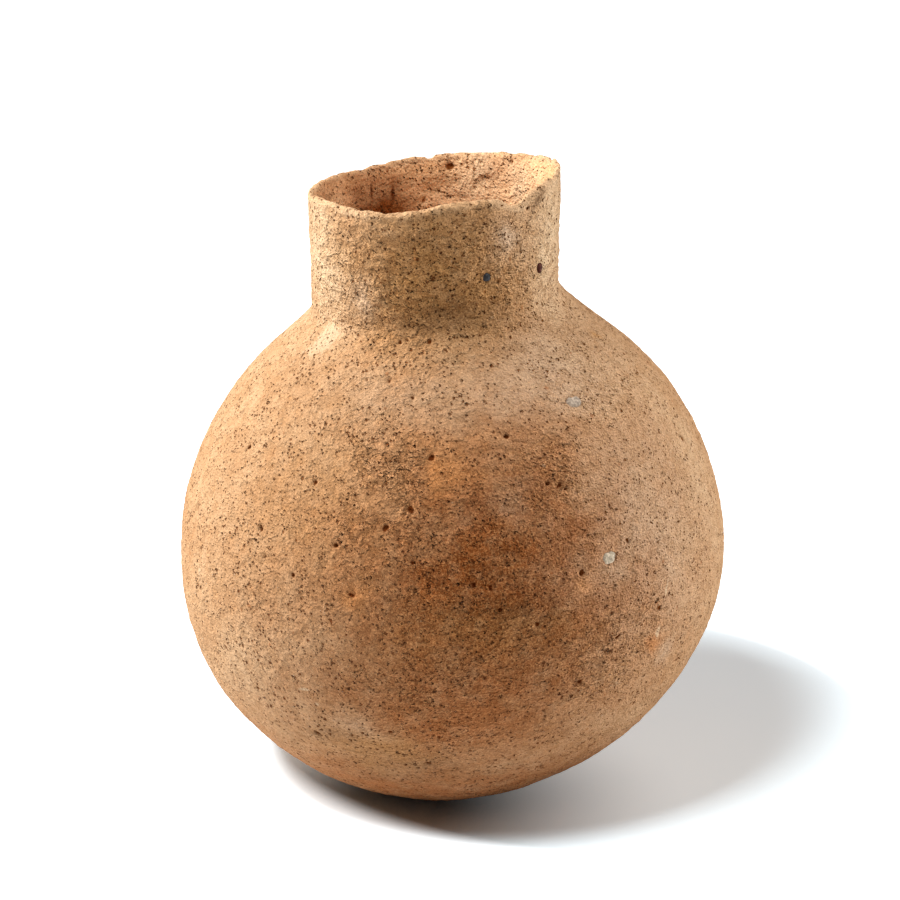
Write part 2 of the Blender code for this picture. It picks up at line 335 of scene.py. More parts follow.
# What the camera and the lamps face, and where each lamp stands, with its width and height
LOOK_AT = Vector((0.0028, 0.0, 0.1121))
SHADOW_LAMP = Lamp("shadow", (-0.40, -0.34, 0.95), (0.56, 0.26))
JAR_LAMPS = (
    Lamp("left", (-0.77, 0.16, 0.42), (0.40, 0.6)),
    Lamp("right", (0.78, 0.10, 0.22), (0.30, 0.6)),
    Lamp("top", (-0.45, -0.05, 0.95), (0.50, 0.50)),
    Lamp("front", (0.12, -0.45, 0.90), (0.30, 0.30)),
)


def length(label, note, size):
    """A length that a user may change, in metres."""
    return FloatProperty(name=label, description=note, default=size, unit="LENGTH", precision=4)


def tint(label, note, colour):
    """A colour that a user may change."""
    return FloatVectorProperty(
        name=label, description=note, default=colour, size=3, min=0.0, max=1.0, subtype="COLOR"
    )


def watts(label, note, power):
    """A lamp's power that a user may change."""
    return FloatProperty(name=label, description=note, default=power, unit="POWER")


class JarShape(PropertyGroup):
    """Sizes of the jar's wall, the same as those of its solids."""

    base_radius: length("Base radius", "Flat place that the jar stands on", 0.0280)
    belly_radius: length("Belly radius", "Widest radius", 0.0900)
    belly_height: length("Belly height", "Level of the widest place", 0.0795)
    neck_radius: length("Neck radius", "Outer radius of the neck", 0.0398)
    root_height: length("Neck root", "Level where the neck leaves the shoulder", 0.1598)
    neck_height: length("Neck height", "From the neck's root to the lip", 0.0427)
    lip_flare: length("Lip flare", "How far the lip leans out past the neck", 0.0014)
    root_fillet: length("Root fillet", "Width of the hollow between shoulder and neck", 0.0170)
    body_wall: length("Body wall", "Wall thickness of the body", 0.0068)
    neck_wall: length("Neck wall", "Wall thickness at the neck's root", 0.0056)
    lip_wall: length("Lip wall", "Wall thickness at the lip", 0.0036)
    lip_crown: length("Lip crown", "Height of the rounded top of the lip", 0.0016)
    bowl_rise: length("Bowl rise", "From the flat place to the bowl's edge, along the wall", 0.0240)
    collar_rise: length("Collar rise", "Height of the neck's collar, along the wall", 0.0265)
    joint_lap: length("Joint lap", "How much higher a joint is inside than outside", 0.0040)
    belly_shift: length("Belly shift", "How far the belly bulges to +X", 0.0038)
    belly_shift_rise: length("Belly shift rise", "Height over which the bulge grows", 0.0950)
    neck_shift: length("Neck shift", "How far the neck sits to +X", -0.0022)
    neck_tilt: length("Neck tilt", "Rise of the neck's +X side", 0.0042)
    shoulder_settle: length("Shoulder settle", "Height over which the shoulder meets the neck", 0.0220)


class JarClay(PropertyGroup):
    """Colours and roughness of the fired clay, with the colours of the shade, light and highlights that are
    painted on it.
    """

    tan: tint("Tan", "Most of the surface", (0.42, 0.232, 0.114))
    sand: tint("Sand", "Its palest parts", (0.53, 0.335, 0.189))
    rust: tint("Rust", "Redder fired places", (0.28, 0.074, 0.012))
    orange: tint("Orange", "Freshly bared clay", (0.56, 0.235, 0.080))
    olive: tint("Olive", "Browner fired places", (0.42, 0.21, 0.075))
    # The inner side is painted paler than its clay, which stands in for the light falling into the neck
    core: tint("Core", "Inner side of the wall", (0.92, 0.53, 0.275))
    ash: tint("Ash", "Greyer places", (0.56, 0.39, 0.26))
    cream: tint("Cream", "Smears of pale slip and pale sand", (0.64, 0.46, 0.29))
    # Dark grime, and painted shade in hollows and low places
    soot: tint("Soot", "Dark dirt in hollows", (0.095, 0.042, 0.017))
    # Pores, pits and hollows are darkened partly for their darker clay and partly as painted shade
    pore_tone_and_shade: tint("Pore", "What darkens pores and pits", (0.30, 0.13, 0.02))
    # Painted shade for the low places between grains, and a painted highlight for their tops
    shade: tint("Shade", "What darkens the low places between grains", (0.36, 0.21, 0.020))
    painted_highlight: tint("Raised", "What lightens the tops of grains", (0.15, 0.080, 0.032))
    roughness: FloatProperty(
        name="Roughness", description="Of the bare clay", default=0.95, subtype="FACTOR"
    )
    swell: length("Swell", "Height of the slow unevenness of the wall", 0.00045)
    pore_depth: length("Pore depth", "Depth of the small pores", 0.0006)
    pit_depth: length("Pit depth", "Depth of the larger pits", 0.00075)


class JarStage(PropertyGroup):
    """Camera and lamps."""

    camera_distance: length("Camera distance", "From the point looked at", 1.0)
    camera_rise: FloatProperty(
        name="Camera rise",
        description="Angle above the floor",
        default=math.radians(17.91),
        subtype="ANGLE",
    )
    lens: FloatProperty(name="Lens", description="Focal length in millimetres", default=121.25)
    left_power: watts("Left lamp", "Lights the jar's paler side", 10.9)
    right_power: watts("Right lamp", "Lights the jar's darker side", 7.2)
    top_power: watts("Top lamp", "Lights the shoulder and the inside of the neck", 7.0)
    front_power: watts("Front lamp", "Lights the front from above", 3.4)
    shadow_power: watts("Shadow lamp", "Lights the floor alone", 24.0)
    ambient: FloatProperty(name="Ambient", description="Strength of the even light", default=0.05)


def ease(share):
    """Smooth step from 0 to 1."""
    share = np.clip(share, 0.0, 1.0)
    return share * share * (3.0 - 2.0 * share)


def lattice_random(cell, seed):
    """A number from 0 to 1 for each whole lattice place, scrambled from its coordinates and the seed."""
    x, y, z = (cell[..., axis].astype(np.uint32) for axis in range(3))
    mixed = x * np.uint32(374761393) + y * np.uint32(668265263) + z * np.uint32(2246822519)
    mixed = mixed + np.uint32((seed * 3266489917) & 0xFFFFFFFF)
    mixed = (mixed ^ (mixed >> np.uint32(13))) * np.uint32(1274126177)
    mixed = (mixed ^ (mixed >> np.uint32(16))) * np.uint32(2654435761)
    mixed = mixed ^ (mixed >> np.uint32(15))
    return mixed.astype(np.float32) / np.float32(2**32)


def cloud(points, spacing, seed):
    """Random heights from -1 to 1 on a lattice of this spacing, eased from each place to the next."""
    place = (points / spacing).astype(np.float32)
    cell = np.floor(place)
    share = ease(place - cell)
    cell = cell.astype(np.int64)
    total = np.zeros(points.shape[:-1], np.float32)
    for corner in itertools.product((0, 1), repeat=3):
        weight = np.prod(np.where(corner, share, 1.0 - share), axis=-1)
        total += weight * lattice_random(cell + np.array(corner), seed)
    return 2.0 * total - 1.0


def clouds(points, spacing, seed, octaves=3):
    """Clouds added up, each half as high and half as wide as the last."""
    total = 0.0
    for octave in range(octaves):
        total = total + cloud(points, spacing / 2**octave, seed + octave) / 2**octave
    return total


def unevenness(points, lumps):
    """Height of a cloud of lumps."""
    return lumps.height * clouds(points, lumps.width, lumps.seed, lumps.layers)


def spots(points, scatter):
    """Round spots at random places: how far inside one each point is, from 0 at its edge, and its tone.

    Each cell of a lattice may hold one ball. A point's value is one less the square of its distance
    from the ball's middle over the ball's radius, for the ball where that is largest.
    """
    spacing, share, smallest, largest, seed = scatter
    place = (points / spacing).astype(np.float32)
    cell = np.floor(place).astype(np.int64)
    inside = np.zeros(points.shape[:-1], np.float32)
    tone = np.zeros_like(inside)
    for step in itertools.product((-1, 0, 1), repeat=3):
        home = cell + np.array(step)
        middle = home + np.stack([lattice_random(home, seed + axis) for axis in range(3)], axis=-1)
        draw = lattice_random(home, seed + 3)
        radius = (smallest + (largest - smallest) * lattice_random(home, seed + 4)) / spacing
        value = 1.0 - ((place - middle) ** 2).sum(axis=-1) / radius**2
        value = np.where(draw < share, value, 0.0)
        nearer = value > inside
        inside = np.where(nearer, value, inside)
        tone = np.where(nearer, lattice_random(home, seed + 5), tone)
    return inside, tone


class Wall:
    """The jar's wall: runs go up its outer side from the base's middle, and depths go in from it."""

    def __init__(self, shape):
        self.shape = shape
        self.lip_level = shape.root_height + shape.neck_height
        self.radius, self.level = self.outline()
        steps = np.hypot(np.diff(self.radius), np.diff(self.level))
        self.run = np.concatenate([[0.0], np.cumsum(steps)])
        self.out_radius = np.gradient(self.level, self.run)
        self.out_level = -np.gradient(self.radius, self.run)
        self.root_run = self.run_at(shape.root_height)
        self.lip_run = self.run[-1]
        bowl_edge = shape.base_radius + shape.bowl_rise
        coil_joints = np.linspace(bowl_edge, self.root_run, len(WALL_COILS) + 1)
        self.joints = [*coil_joints, self.root_run + shape.collar_rise]
        self.lip_seat = float(np.interp(self.joints[-1], self.run, self.level))

    def outline(self):
        """Flat base, an ellipse up to the belly, and the larger of a second ellipse and the neck."""
        shape = self.shape
        base = np.linspace(0.0, shape.base_radius, OUTLINE_POINTS)
        low_height = shape.belly_height / math.sqrt(1.0 - (shape.base_radius / shape.belly_radius) ** 2)
        sweep = np.linspace(-math.acos(shape.base_radius / shape.belly_radius), 0.0, OUTLINE_POINTS)[1:]
        rise = shape.root_height - shape.belly_height
        high_height = rise / math.sqrt(1.0 - (shape.neck_radius / shape.belly_radius) ** 2)
        level = np.linspace(shape.belly_height, self.lip_level, OUTLINE_POINTS)[1:]
        dome = np.sqrt(np.maximum(1.0 - ((level - shape.belly_height) / high_height) ** 2, 0.0))
        dome = dome * shape.belly_radius
        up_the_neck = np.clip((level - shape.root_height) / shape.neck_height, 0.0, 1.0)
        neck = shape.neck_radius + shape.lip_flare * up_the_neck**3
        overlap = np.maximum(shape.root_fillet - np.abs(dome - neck), 0.0) / shape.root_fillet
        upper = np.maximum(dome, neck) + overlap * overlap * shape.root_fillet / 4.0
        radius = np.concatenate([base, shape.belly_radius * np.cos(sweep), upper])
        lower_level = shape.belly_height + low_height * np.sin(sweep)
        return radius, np.concatenate([np.zeros_like(base), lower_level, level])

    def run_at(self, level):
        """Run at which the outer side meets this level, above the base."""
        return float(np.interp(level, self.level[OUTLINE_POINTS - 1 :], self.run[OUTLINE_POINTS - 1 :]))

    def thickness(self, run):
        """Full on the body, thinner up the neck and thinnest at the lip."""
        shape = self.shape
        to_neck = ease((run - self.root_run) / shape.shoulder_settle + 1.0)
        to_lip = ease((run - self.root_run) / (self.lip_run - self.root_run))
        neck = shape.neck_wall + (shape.lip_wall - shape.neck_wall) * to_lip
        return shape.body_wall + (neck - shape.body_wall) * to_neck

    def normal(self, run):
        """Outer side's normal in the section, as its parts out from the axis and up."""
        out_radius = np.interp(run, self.run, self.out_radius)
        out_level = np.interp(run, self.run, self.out_level)
        size = np.hypot(out_radius, out_level)
        return out_radius / size, out_level / size

    def outward(self, run, angle):
        """Outer side's normal, swung round the axis."""
        out_radius, out_level = self.normal(run)
        return np.stack([out_radius * np.cos(angle), out_radius * np.sin(angle), out_level], axis=-1)

    def place(self, run, depth, angle):
        """Outline's place at this run and depth, swung to the angle and moved as the solids are."""
        out_radius, out_level = self.normal(run)
        radius = np.interp(run, self.run, self.radius) - depth * out_radius
        level = np.interp(run, self.run, self.level) - depth * out_level
        shape = self.shape
        on_neck = ease((level - shape.root_height) / shape.shoulder_settle + 1.0)
        shift = shape.belly_shift * ease(level / shape.belly_shift_rise) * (1.0 - on_neck)
        shift = shift + shape.neck_shift * on_neck
        lift = shape.neck_tilt * np.cos(angle) * on_neck
        on_lip = ease((level - self.lip_seat) / (self.lip_level - self.lip_seat))
        for wave in LIP_WAVES:
            turn = turn_from(angle, wave.angle) / math.radians(wave.half_width)
            lift = lift + wave.rise * MM * np.exp(-(turn**2)) * on_lip
        return np.stack([radius * np.cos(angle) + shift, radius * np.sin(angle), level + lift], axis=-1)


def turn_from(angle, degrees):
    """Signed angle from a direction given in degrees, the short way round."""
    return np.angle(np.exp(1j * (angle - math.radians(degrees))))


def nearness(wall, angle, run, spot):
    """Bell over the wall: one at the spot's middle, falling with the distance round and up the wall."""
    radius = np.interp(spot.run * MM, wall.run, wall.radius)
    round_jar = turn_from(angle, spot.angle) * radius / (spot.width * MM)
    up_wall = (run - spot.run * MM) / (spot.height * MM)
    return np.exp(-(round_jar**2) - up_wall**2)


def lip_wear_and_highlight(wall, run):
    """Share by which the clay is rolled out near the top of the lip and made paler there, partly rubbed and
    partly a painted highlight.
    """
    return LIP_WEAR_AND_HIGHLIGHT * ease(1.0 - (wall.lip_run - run) / LIP_WEAR_AND_HIGHLIGHT_HEIGHT)


def outer_relief(wall, clay, base, angle, run):
    """Height of the outer skin over its smooth place, with how far each point is in a pit or on a grain.

    Swells, lumps, sandy grain and level scrape marks are clouds, coarser where the skin is worn.
    Pits and grains are spots.
    """
    rough = patch_mask(wall, base, angle, run, ROUGH_PATCHES)
    height = clay.swell * clouds(base, SWELL_WIDTH, 11, 2) + unevenness(base, LUMPS)
    coarse = unevenness(base, SANDY_LUMPS) + unevenness(base, SANDY_GRAIN)
    coarse = coarse + unevenness(base * SCRAPE_STRETCH, SCRAPE_MARKS)
    height = height + coarse * (SMOOTH_COARSENESS + WORN_COARSENESS * rough)
    stray = np.stack([cloud(base, SANDY_GRAIN.width, 40 + axis) for axis in range(3)], axis=-1)
    ragged = base + PIT_RAGGEDNESS * stray
    pit, _ = spots(ragged, PITS)
    grain, tone = spots(ragged, GRAINS)
    height = height - clay.pit_depth * np.sqrt(pit) + GRAIN_HEIGHT * np.sqrt(grain)
    height = height + LIP_ROLL * lip_wear_and_highlight(wall, run)
    depth, hollow = outer_hollows(wall, base, angle, run)
    # The pit mark, with the single hollows and the pebbles' seats in it, darkens the clay, partly for its
    # darker clay and partly as painted shade
    marks = {"pit": np.maximum(pit, hollow), "grain": grain, "tone": tone, "rough": rough}
    return height - depth, marks


def outer_hollows(wall, base, angle, run):
    """Depth of the single hollows and the pebbles' seats, and how far each point is in one.

    A hollow is a bell whose place and depth stray with clouds, so that its border is ragged.
    """
    depth = np.zeros(base.shape[:-1])
    inside = np.zeros_like(depth)
    stray = unevenness(base, HOLLOW_STRAY)
    uneven = 1.0 + 0.4 * cloud(base, 0.002, 82)
    for spot in HOLLOWS:
        bell = nearness(wall, angle + stray / HOLLOW_TURN_RADIUS, run + stray, spot) * uneven
        depth = depth + spot.depth * MM * bell
        inside = np.maximum(inside, bell * min(1.0, spot.depth) * min(1.0, 2.0 / spot.width))
    for pebble in PEBBLES:
        seat = pebble_seat(wall, pebble, angle, run)
        depth = depth + PEBBLE_SEAT_DEPTH * seat
        inside = np.maximum(inside, 0.3 * seat)
    return depth, inside


def pebble_seat(wall, pebble, angle, run):
    """One under a pebble, falling to nothing a little outside its edge."""
    radius = np.interp(pebble.run * MM, wall.run, wall.radius)
    round_jar = turn_from(angle, pebble.angle) * radius / (pebble.length * MM / 2.0)
    up_wall = (run - pebble.run * MM) / (pebble.height * MM / 2.0)
    return ease((1.15 - np.hypot(round_jar, up_wall)) / 0.30)


def inner_relief(wall, base, angle, run):
    """Height of the inner skin over its smooth place: lumps, faint finger ridges, cracks and pits.

    Cracks lie where a cloud passes through nothing, so they run on as thin wandering lines.
    """
    ridges = RIDGE_HEIGHT * np.sin(base[..., 2] / RIDGE_WIDTH + RIDGE_WANDER * cloud(base, 0.03, 91))
    height = ridges + unevenness(base, INNER_LUMPS) + unevenness(base, INNER_GRAIN)
    crack = ease(1.0 - np.abs(cloud(base, 0.014, 97)) / CRACK_SHARE)
    crack = crack * ease(cloud(base, 0.011, 98) * 2.0)
    pit, _ = spots(base, INNER_PITS)
    grain, tone = spots(base, INNER_GRAINS)
    height = height - INNER_PIT_DEPTH * np.sqrt(pit) + INNER_GRAIN_HEIGHT * np.sqrt(grain)
    height = height - CRACK_DEPTH * crack
    # Cracks and hollows go into the pit mark, which darkens them partly as painted shade
    hollow = 0.3 * crack
    deepest = max(spot.depth for spot in INNER_HOLLOWS)
    for spot in INNER_HOLLOWS:
        bell = nearness(wall, angle, run, spot)
        height = height - spot.depth * MM * bell
        hollow = np.maximum(hollow, bell * spot.depth / deepest)
    marks = {"pit": np.maximum(pit, hollow), "grain": grain, "tone": tone, "rough": np.zeros_like(height)}
    return height, marks


def patch_mask(wall, base, angle, run, patches):
    """Largest of the patches' bells, with ragged borders from clouds."""
    wander = unevenness(base, PATCH_WANDER) + unevenness(base, PATCH_RAGGEDNESS)
    mask = np.zeros(base.shape[:-1])
    for patch in patches:
        bell = nearness(wall, angle + wander / PATCH_TURN_RADIUS, run + wander, patch)
        mask = np.maximum(mask, patch.strength * bell)
    return mask


def outer_skin(wall, clay, runs):
    """Outer side over a grid of runs and angles: its smooth place, moved along its normal by the relief."""
    run, angle = np.meshgrid(runs, column_angles(), indexing="ij")
    base = wall.place(run, 0.0, angle)
    height, marks = outer_relief(wall, clay, base, angle, run)
    standing = np.minimum(1.0, base[..., 2] / STANDING_LEVEL)
    skin = base + wall.outward(run, angle) * (height * standing)[..., None]
    skin[..., 2] = np.maximum(skin[..., 2], 0.0)
    for name, patches in OUTER_PATCHES.items():
        marks[name] = patch_mask(wall, base, angle, run, patches)
    # Near the lip the pale mark is partly wear and partly a painted highlight
    marks["pale"] = np.maximum(marks["pale"], lip_wear_and_highlight(wall, run))
    marks["inside"] = np.zeros_like(height)
    return skin, marks


def inner_skin(wall, runs):
    """Inner side over a grid of runs and angles: its smooth place, moved in along its normal by relief."""
    run, angle = np.meshgrid(runs, column_angles(), indexing="ij")
    base = wall.place(run, wall.thickness(run), angle)
    height, marks = inner_relief(wall, base, angle, run)
    skin = base - wall.outward(run, angle) * height[..., None]
    for name in ("olive", "cream", "ash"):
        marks[name] = np.zeros_like(height)
    # Painted light on the inner side where light falls into the neck, carried by the pale mark
    pale = patch_mask(wall, base, angle, run, INNER_PAINTED_LIGHT_PATCHES)
    # Painted shade in the inner corner under the left of the lip, made browner by the rust mark and darker
    # by the sooty one
    corner_shade = patch_mask(wall, base, angle, run, INNER_PAINTED_SHADE_PATCHES)
    # Near the lip the inner side is paler too, partly wear and partly a painted highlight
    marks["pale"] = np.maximum(pale, lip_wear_and_highlight(wall, run))
    marks["soot"] = 0.4 * corner_shade
    marks["rust"] = np.maximum(corner_shade, 0.25 * cloud(base, 0.009, 142))
    marks["orange"] = 0.10 + 0.35 * cloud(base, 0.011, 141)
    marks["inside"] = np.ones_like(height)
    return skin, marks


def column_angles():
    """Angles of the grid's columns, once round the jar."""
    return np.arange(COLUMNS) * (2.0 * math.pi / COLUMNS)


def bridge(start, end, rows):
    """Rows between two borders, each point or mark on the straight line from one to the other."""
    shares = np.arange(1, rows + 1) / (rows + 1)
    shares = shares.reshape(-1, *[1] * start.ndim)
    return start * (1.0 - shares) + end * shares


def join_marks(outer, inner, top_rows, bottom_rows):
    """Marks of an outer skin, the rows over its top, the inner skin, and the rows back to the first."""
    joined = {}
    for name in outer:
        over = bridge(outer[name][-1], inner[name][0], top_rows)
        under = bridge(inner[name][-1], outer[name][0], bottom_rows)
        joined[name] = np.concatenate([outer[name], over, inner[name], under])
    return joined


def grid_faces(rows, columns, closed):
    """Corners of the quads of a grid that closes round its columns and, if closed, round its rows."""
    row, column = np.meshgrid(np.arange(rows if closed else rows - 1), np.arange(columns), indexing="ij")
    above = (row + 1) % rows
    beside = (column + 1) % columns
    corners = (
        row * columns + column,
        row * columns + beside,
        above * columns + beside,
        above * columns + column,
    )
    return np.stack(corners, axis=-1).reshape(-1, 4), row.ravel(), column.ravel()


def pole_fans(rows, columns):
    """Corners of the triangles from a grid's end rows to the two poles, whose points follow the grid's."""
    here = np.arange(columns)
    beside = (here + 1) % columns
    last_row = (rows - 1) * columns
    pole = np.full(columns, rows * columns)
    first_fan = np.stack([beside, here, pole], axis=-1)
    last_fan = np.stack([last_row + here, last_row + beside, pole + 1], axis=-1)
    return np.concatenate([first_fan, last_fan])


def grid_uv(row, column, places):
    """Map of a grid: the way round is cut into arcs, stacked one above the other in the square."""
    per_arc = COLUMNS // UV_ARCS
    arc = column // per_arc
    across = (column - arc * per_arc)[:, None] + np.array((0, 1, 1, 0))
    up = places[row[:, None] + np.array((0, 0, 1, 1))]
    inset = 1.0 - 2.0 * UV_MARGIN
    u = UV_MARGIN + inset * across / per_arc
    v = (arc[:, None] + UV_MARGIN + inset * up) / UV_ARCS
    return np.stack([u, v], axis=-1)


def new_mesh(name, points, quads, quad_uv, fans=None):
    """Mesh of quads, and of triangle fans where a pole is closed."""
    corners = quads.ravel()
    starts = np.arange(len(quads)) * 4
    uv = quad_uv.reshape(-1, 2)
    if fans is not None:
        triangles, triangle_uv = fans
        starts = np.concatenate([starts, len(corners) + np.arange(len(triangles)) * 3])
        corners = np.concatenate([corners, triangles.ravel()])
        uv = np.concatenate([uv, triangle_uv.reshape(-1, 2)])
    mesh = bpy.data.meshes.new(name)
    mesh.vertices.add(len(points))
    mesh.vertices.foreach_set("co", points.astype(np.float32).ravel())
    mesh.loops.add(len(corners))
    mesh.loops.foreach_set("vertex_index", corners.astype(np.int32))
    mesh.polygons.add(len(starts))
    mesh.polygons.foreach_set("loop_start", starts.astype(np.int32))
    mesh.update(calc_edges=True)
    layer = mesh.uv_layers.new(name="OFBake")
    layer.uv.foreach_set("vector", uv.astype(np.float32).ravel())
    mesh.shade_smooth()
    return mesh


def mark_borders(mesh, border_rows):
    """Edges along these rows are sharp, so that a joint's faces don't bend the shading of the skins."""
    ends = np.empty(len(mesh.edges) * 2, np.int32)
    mesh.edges.foreach_get("vertices", ends)
    row = ends.reshape(-1, 2) // COLUMNS
    sharp = (row[:, 0] == row[:, 1]) & np.isin(row[:, 0], border_rows)
    mesh.attributes.new("sharp_edge", "BOOLEAN", "EDGE").data.foreach_set("value", sharp)


def add_marks(mesh, marks):
    """Each mark as a number on the mesh's points, for the clay material to read."""
    for name, values in marks.items():
        layer = mesh.attributes.new(name, "FLOAT", "POINT")
        layer.data.foreach_set("value", values.astype(np.float32).ravel())


def add_piece(mesh, node, material, finish="clay"):
    """Object that stands for a CAD node and rides on its body."""
    mesh.materials.append(material)
    piece = bpy.data.objects.new(f"{node}_{finish}", mesh)
    bpy.context.scene.collection.objects.link(piece)
    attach(piece, BODY)
    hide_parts(node)


def row_places(grid, outer_rows):
    """Place of each row in the map, by its way along the section, which counts less on the inner side."""
    section = np.concatenate([grid[:, 0], grid[:1, 0]])
    weights = np.where(np.arange(len(grid)) <= outer_rows, 1.0, INNER_MAP_SHARE)
    steps = np.linalg.norm(np.diff(section, axis=0), axis=-1) * weights
    return np.concatenate([[0.0], np.cumsum(steps)]) / steps.sum()


def build_coil(wall, clay, piece, bottom, top, rows, material):
    """A coil as one closed grid: up its outer skin, over its upper joint, down its inner skin and back."""
    outer_rows, inner_rows = rows
    lap = wall.shape.joint_lap
    outer, outer_marks = outer_skin(wall, clay, np.linspace(bottom, top, outer_rows + 1))
    inner, inner_marks = inner_skin(wall, np.linspace(top + lap, bottom + lap, inner_rows + 1))
    upper = bridge(outer[-1], inner[0], JOINT_ROWS)
    lower = bridge(inner[-1], outer[0], JOINT_ROWS)
    grid = np.concatenate([outer, upper, inner, lower])
    marks = join_marks(outer_marks, inner_marks, JOINT_ROWS, JOINT_ROWS)
    borders = [0, outer_rows, outer_rows + JOINT_ROWS + 1, len(grid) - JOINT_ROWS - 1]
    finish_grid(piece, grid, marks, borders, outer_rows, material)


def finish_grid(piece, grid, marks, borders, outer_rows, material):
    """Piece made from a grid that is closed round its rows."""
    node, slot = piece
    quads, row, column = grid_faces(len(grid), COLUMNS, closed=True)
    uv = grid_uv(row, column, row_places(grid, outer_rows))
    mesh = new_mesh(node, grid.reshape(-1, 3), quads, uv)
    mark_borders(mesh, borders)
    add_marks(mesh, marks)
    add_piece(mesh, node, material)


def wear_lip(outer, inner):
    """Leans both skins of the rim in towards its middle over the last millimetres, by uneven amounts."""
    rise = np.linspace(0.0, 1.0, len(outer))[:, None]
    fall = np.linspace(1.0, 0.0, len(inner))[:, None]
    angle = column_angles()
    out = np.stack([np.cos(angle), np.sin(angle), np.zeros_like(angle)], axis=-1)
    uneven = LIP_LEAN + unevenness(outer[-1], LIP_LUMPS)
    outer -= out * (uneven * rise**6)[..., None]
    inner += out * (uneven * fall**4)[..., None]


def lip_crown(wall, outer, inner):
    """Rows over the lip: half an ellipse from the outer border to the inner, chipped by clouds."""
    turn = np.arange(1, CROWN_ROWS + 1) / (CROWN_ROWS + 1) * math.pi
    share = ((1.0 - np.cos(turn)) / 2.0)[:, None, None]
    crown = outer * (1.0 - share) + inner * share
    crown[..., 2] += wall.shape.lip_crown * np.sin(turn)[:, None]
    chips = CHIP_DEPTH * ease(cloud(crown, CHIP_WIDTH, 135) * 2.0 - 0.5)
    crown[..., 2] += (unevenness(crown, CROWN_LUMPS) - chips) * np.sin(turn)[:, None]
    return crown


def build_rim(wall, clay, material):
    """The rim as one closed grid: a coil whose upper joint is the rounded, chipped crown of the lip."""
    outer_rows, inner_rows = RIM_ROWS
    bottom = wall.joints[-1]
    top = wall.lip_run - wall.shape.lip_crown
    outer, outer_marks = outer_skin(wall, clay, np.linspace(bottom, top, outer_rows + 1))
    inner, inner_marks = inner_skin(wall, np.linspace(top, bottom + wall.shape.joint_lap, inner_rows + 1))
    wear_lip(outer, inner)
    crown = lip_crown(wall, outer[-1], inner[0])
    lower = bridge(inner[-1], outer[0], JOINT_ROWS)
    grid = np.concatenate([outer, crown, inner, lower])
    marks = join_marks(outer_marks, inner_marks, CROWN_ROWS, JOINT_ROWS)
    borders = [0, len(grid) - JOINT_ROWS - 1]
    finish_grid(RIM, grid, marks, borders, outer_rows + CROWN_ROWS, material)


def build_bowl(wall, clay, material):
    """The bowl as a grid from the pole under its base, round its edge, to the pole on its floor."""
    node, slot = BOWL
    outer_rows, inner_rows = BOWL_ROWS
    edge = wall.joints[0]
    inner_edge = edge + wall.shape.joint_lap
    outer, outer_marks = outer_skin(wall, clay, np.linspace(POLE_RUN, edge, outer_rows + 1))
    inner, inner_marks = inner_skin(wall, np.linspace(inner_edge, POLE_RUN, inner_rows + 1))
    grid = np.concatenate([outer, bridge(outer[-1], inner[0], JOINT_ROWS), inner])
    marks = join_marks(outer_marks, inner_marks, JOINT_ROWS, 0)
    quads, row, column = grid_faces(len(grid), COLUMNS, closed=False)
    points = np.concatenate([grid.reshape(-1, 3), grid[:1].mean(axis=1), grid[-1:].mean(axis=1)])
    uv = grid_uv(row, column, row_places(grid, outer_rows))
    under_uv = uv[:COLUMNS][:, (1, 0, 0)]
    floor_uv = uv[-COLUMNS:][:, (3, 2, 3)]
    fans = (pole_fans(len(grid), COLUMNS), np.concatenate([under_uv, floor_uv]))
    mesh = new_mesh(node, points, quads, uv, fans)
    mark_borders(mesh, [outer_rows, outer_rows + JOINT_ROWS + 1])
    add_marks(mesh, {name: np.append(values, [0.0, 0.0]) for name, values in marks.items()})
    add_piece(mesh, node, material)


def stone_points(pebble):
    """Points of a rounded block with clouds on it, about the origin, with its two poles last.

    Its two parameters are the angle down from the pole that faces out of the wall and the angle
    round that pole. Each direction is scaled until its cubes add up to one, which makes a
    block with round edges, and the block is scaled to the grain's length, height and thickness.
    """
    down = np.linspace(0.0, math.pi, STONE_ROWS + 2)[1:-1]
    turn = np.arange(STONE_COLUMNS) * (2.0 * math.pi / STONE_COLUMNS)
    down, turn = np.meshgrid(down, turn, indexing="ij")
    ball = np.stack([np.sin(down) * np.cos(turn), np.sin(down) * np.sin(turn), np.cos(down)], axis=-1)
    poles = np.array(((0.0, 0.0, 1.0), (0.0, 0.0, -1.0)))
    points = np.concatenate([ball.reshape(-1, 3), poles])
    points = points / (np.abs(points) ** 3).sum(axis=-1, keepdims=True) ** (1.0 / 3.0)
    seed = int(abs(pebble.angle))
    points = points * (1.0 + 0.17 * clouds(points + 10.0, 0.8, seed, 3))[:, None]
    return points * np.array((pebble.length, pebble.height, pebble.thickness)) * MM / 2.0


def build_stone(wall, pebble):
    """A grain of temper, turned so that its pole faces out and set in the wall."""
    angle = np.array(math.radians(pebble.angle))
    depth = (pebble.thickness / 2.0 - pebble.proud) * MM
    middle = wall.place(pebble.run * MM, depth, angle)
    out = wall.outward(pebble.run * MM, angle)
    round_jar = np.array((-math.sin(angle), math.cos(angle), 0.0))
    up_wall = np.cross(out, round_jar)
    points = middle + stone_points(pebble) @ np.stack([round_jar, up_wall, out])
    quads, _, _ = grid_faces(STONE_ROWS, STONE_COLUMNS, closed=False)
    quads = quads[:, (0, 3, 2, 1)]
    fans = pole_fans(STONE_ROWS, STONE_COLUMNS)[:, (2, 1, 0)]
    mesh = bpy.data.meshes.new(pebble.node)
    mesh.from_pydata(points.tolist(), [], quads.tolist() + fans.tolist())
    mesh.shade_smooth()
    add_piece(mesh, pebble.node, stone_material(pebble), "stone")


